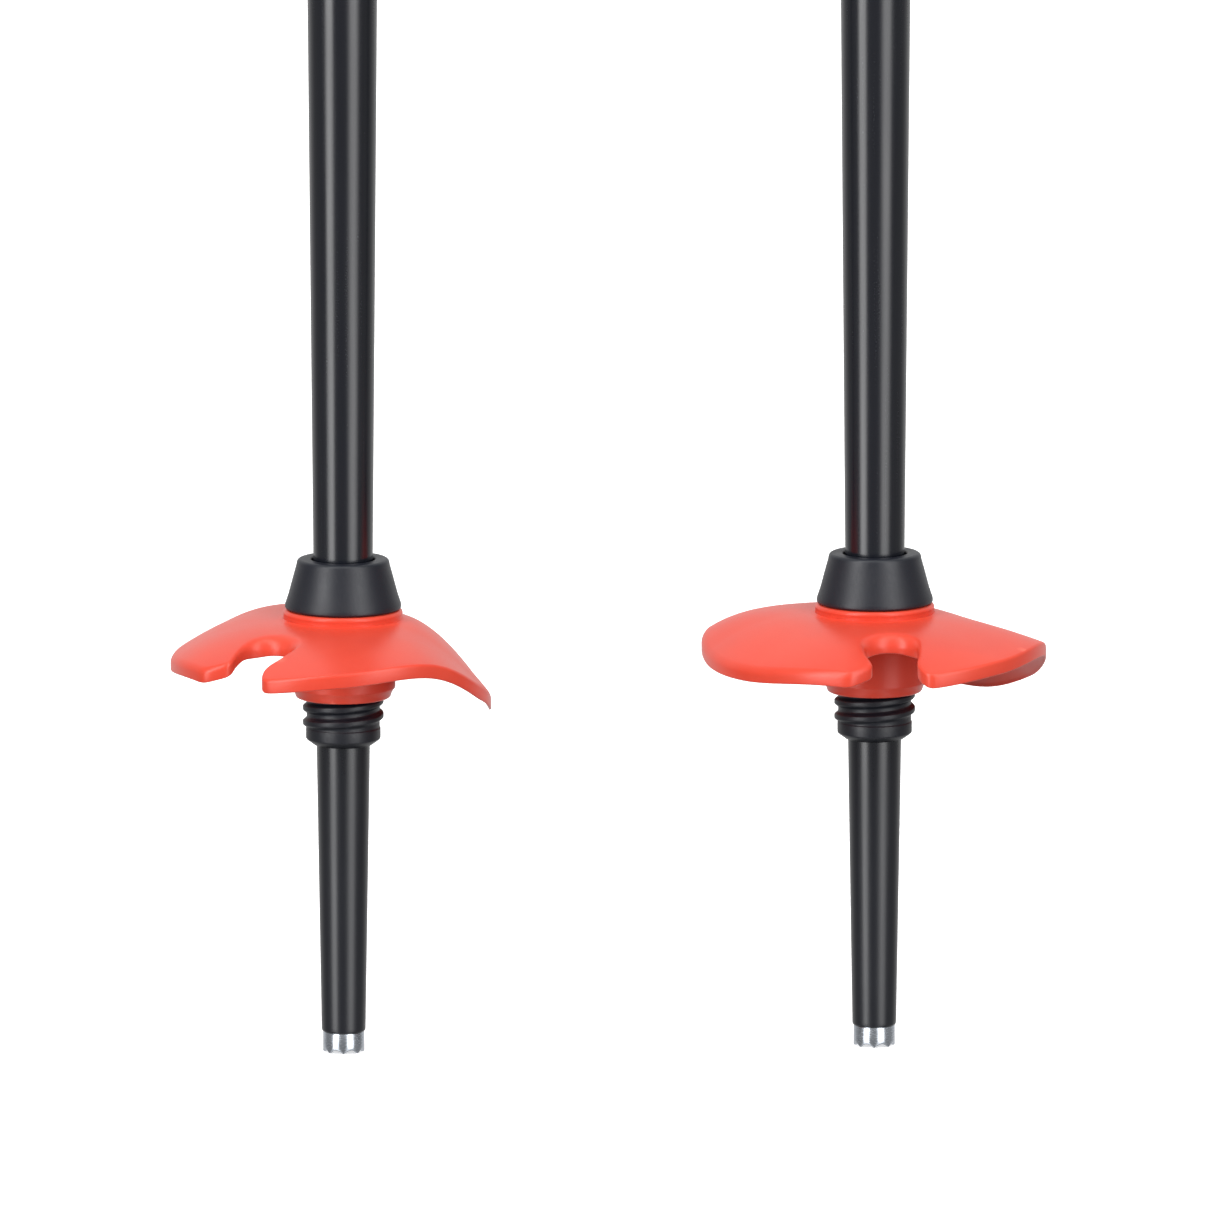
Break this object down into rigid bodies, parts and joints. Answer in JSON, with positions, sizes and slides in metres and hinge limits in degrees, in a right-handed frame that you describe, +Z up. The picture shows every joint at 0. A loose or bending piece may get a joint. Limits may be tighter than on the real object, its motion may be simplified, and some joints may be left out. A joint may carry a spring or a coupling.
{
  "type": "trekking poles",
  "caption": "Pair of telescoping walking poles with tapered black tubes, steel crown tips, red-orange snow baskets with a heel notch, lever locks, foam grips and wrist straps.",
  "frame": {"origin": "centre of the left pole's tip, where it meets the ground", "axes": "+Z up along the poles, +X from the left pole towards the right one, -Y towards the front of the grips; straps hang behind, at +Y"},
  "size_m": [0.2009, 0.1235, 1],
  "materials": {
    "black_tube": "satin",
    "sleeve_plastic": "matte",
    "tip_steel": "satin",
    "pin_steel": "satin",
    "bolt_steel": "satin",
    "nut_aluminium": "satin",
    "bush_nylon": "satin",
    "basket_red": "satin",
    "lock_plastic": "satin",
    "washer_plastic": "satin",
    "foam": "matte",
    "webbing": "matte",
    "pad_fabric": "matte"
  },
  "bodies": {
    "left_lower": {"left_lower_shaft": "black_tube", "left_basket_sleeve": "sleeve_plastic", "left_steel_tip": "tip_steel", "left_guide_bush": "bush_nylon"},
    "left_upper": {"left_upper_shaft": "black_tube", "left_mouth_ring": "sleeve_plastic", "left_clamp_band": "lock_plastic", "left_eye_bolt": "bolt_steel", "left_cam_washer": "washer_plastic", "left_lever_pin": "pin_steel", "left_foam_collar": "sleeve_plastic", "left_foam_sleeve": "foam", "left_grip_core": "sleeve_plastic", "left_grip_foam": "foam", "left_grip_cap": "lock_plastic", "left_strap_pin": "pin_steel"},
    "left_basket": {"left_basket": "basket_red"},
    "left_lever": {"left_lock_lever": "lock_plastic"},
    "left_nut": {"left_clamp_nut": "nut_aluminium"},
    "left_strap": {"left_strap": "webbing", "left_strap_pad": "pad_fabric"},
    "left_wedge": {"left_strap_wedge": "basket_red"},
    "right_lower": {"right_lower_shaft": "black_tube", "right_basket_sleeve": "sleeve_plastic", "right_steel_tip": "tip_steel", "right_guide_bush": "bush_nylon"},
    "right_upper": {"right_upper_shaft": "black_tube", "right_mouth_ring": "sleeve_plastic", "right_clamp_band": "lock_plastic", "right_eye_bolt": "bolt_steel", "right_cam_washer": "washer_plastic", "right_lever_pin": "pin_steel", "right_foam_collar": "sleeve_plastic", "right_foam_sleeve": "foam", "right_grip_core": "sleeve_plastic", "right_grip_foam": "foam", "right_grip_cap": "lock_plastic", "right_strap_pin": "pin_steel"},
    "right_basket": {"right_basket": "basket_red"},
    "right_lever": {"right_lock_lever": "lock_plastic"},
    "right_nut": {"right_clamp_nut": "nut_aluminium"},
    "right_strap": {"right_strap": "webbing", "right_strap_pad": "pad_fabric"},
    "right_wedge": {"right_strap_wedge": "basket_red"}
  },
  "joints": [
    {"name": "left_length", "type": "slide", "parent": "left_lower", "child": "left_upper", "axis": [0, 0, 1], "range_m": [0, 0.4]},
    {"name": "left_basket_off", "type": "slide", "parent": "left_lower", "child": "left_basket", "axis": [0, 0, -1], "range_m": [0, 0.07]},
    {"name": "left_lock_lever", "type": "hinge", "parent": "left_upper", "child": "left_lever", "pos_m": [0.015, -0.0119, 0.279], "axis": [0, 0, 1], "range_deg": [0, 150]},
    {"name": "left_clamp_nut", "type": "hinge", "parent": "left_upper", "child": "left_nut", "pos_m": [0.015, 0.0088, 0.279], "axis": [0, 1, 0], "range_deg": [-360, 360]},
    {"name": "left_strap_swing", "type": "hinge", "parent": "left_upper", "child": "left_strap", "pos_m": [0, 0.019, 0.984], "axis": [1, 0, 0], "range_deg": [0, 80]},
    {"name": "left_strap_wedge", "type": "slide", "parent": "left_upper", "child": "left_wedge", "axis": [0, 0, 1], "range_m": [0, 0.006]},
    {"name": "right_pole_apart", "type": "slide", "parent": "left_lower", "child": "right_lower", "axis": [1, 0, 0], "range_m": [0, 0.3]},
    {"name": "right_length", "type": "slide", "parent": "right_lower", "child": "right_upper", "axis": [0, 0, 1], "range_m": [0, 0.4]},
    {"name": "right_basket_off", "type": "slide", "parent": "right_lower", "child": "right_basket", "axis": [0, 0, -1], "range_m": [0, 0.07]},
    {"name": "right_lock_lever", "type": "hinge", "parent": "right_upper", "child": "right_lever", "pos_m": [0.137, -0.0039, 0.279], "axis": [0, 0, 1], "range_deg": [0, 150]},
    {"name": "right_clamp_nut", "type": "hinge", "parent": "right_upper", "child": "right_nut", "pos_m": [0.137, 0.0168, 0.279], "axis": [0, 1, 0], "range_deg": [-360, 360]},
    {"name": "right_strap_swing", "type": "hinge", "parent": "right_upper", "child": "right_strap", "pos_m": [0.122, 0.027, 0.984], "axis": [1, 0, 0], "range_deg": [0, 80]},
    {"name": "right_strap_wedge", "type": "slide", "parent": "right_upper", "child": "right_wedge", "axis": [0, 0, 1], "range_m": [0, 0.006]}
  ]
}
